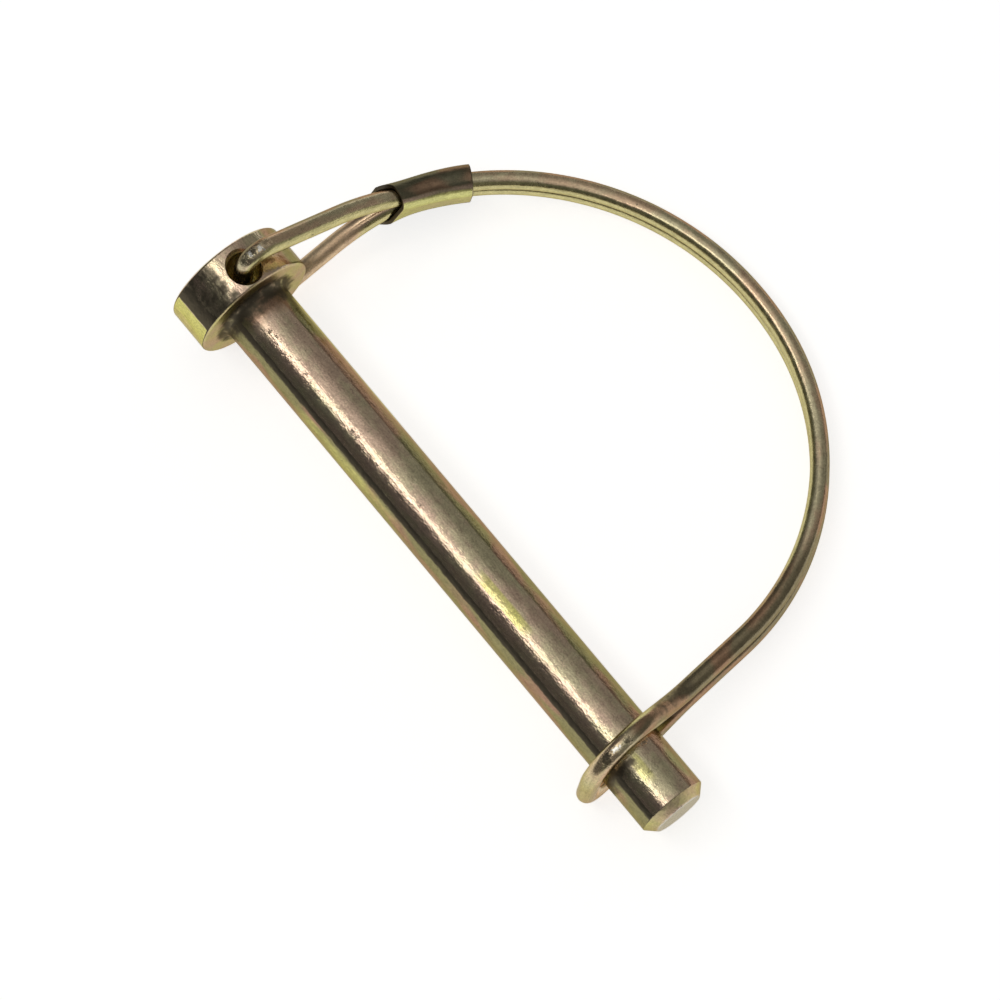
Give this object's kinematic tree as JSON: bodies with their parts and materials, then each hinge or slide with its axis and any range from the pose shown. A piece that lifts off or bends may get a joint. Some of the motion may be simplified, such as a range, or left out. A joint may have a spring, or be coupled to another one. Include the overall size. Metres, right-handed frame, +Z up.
{
  "type": "wire lock pin",
  "caption": "Headed steel pin whose spring wire loop hooks into the head, runs round in an arch and snaps over the tip; a crimped sleeve joins the wire's two strands.",
  "frame": {"origin": "centre of the resting part's outline on the surface it lies on", "axes": "+X along the pin from its head to its tip, +Y from the pin towards the wire's arch, +Z up from the surface"},
  "size_m": [0.093, 0.0626, 0.023],
  "materials": {
    "pin_plating": "yellow zinc plated turned steel, satin with pink and olive bands and small specks",
    "wire_plating": "yellow zinc plated spring wire, satin, worn to grey metal at the bends",
    "sleeve_plating": "yellow zinc plated sheet steel, satin, yellow-green"
  },
  "bodies": {
    "pin": {"lock_pin": "pin_plating"},
    "loop": {"spring_wire": "wire_plating", "crimp_sleeve": "sleeve_plating"}
  },
  "joints": [
    {"name": "loop_play", "type": "hinge", "parent": "pin", "child": "loop", "pos_m": [-0.04253, -0.02272, 0.01146], "axis": [0.042, 0.1291, 0.9907], "range_deg": [-0.3, 0.2]}
  ]
}
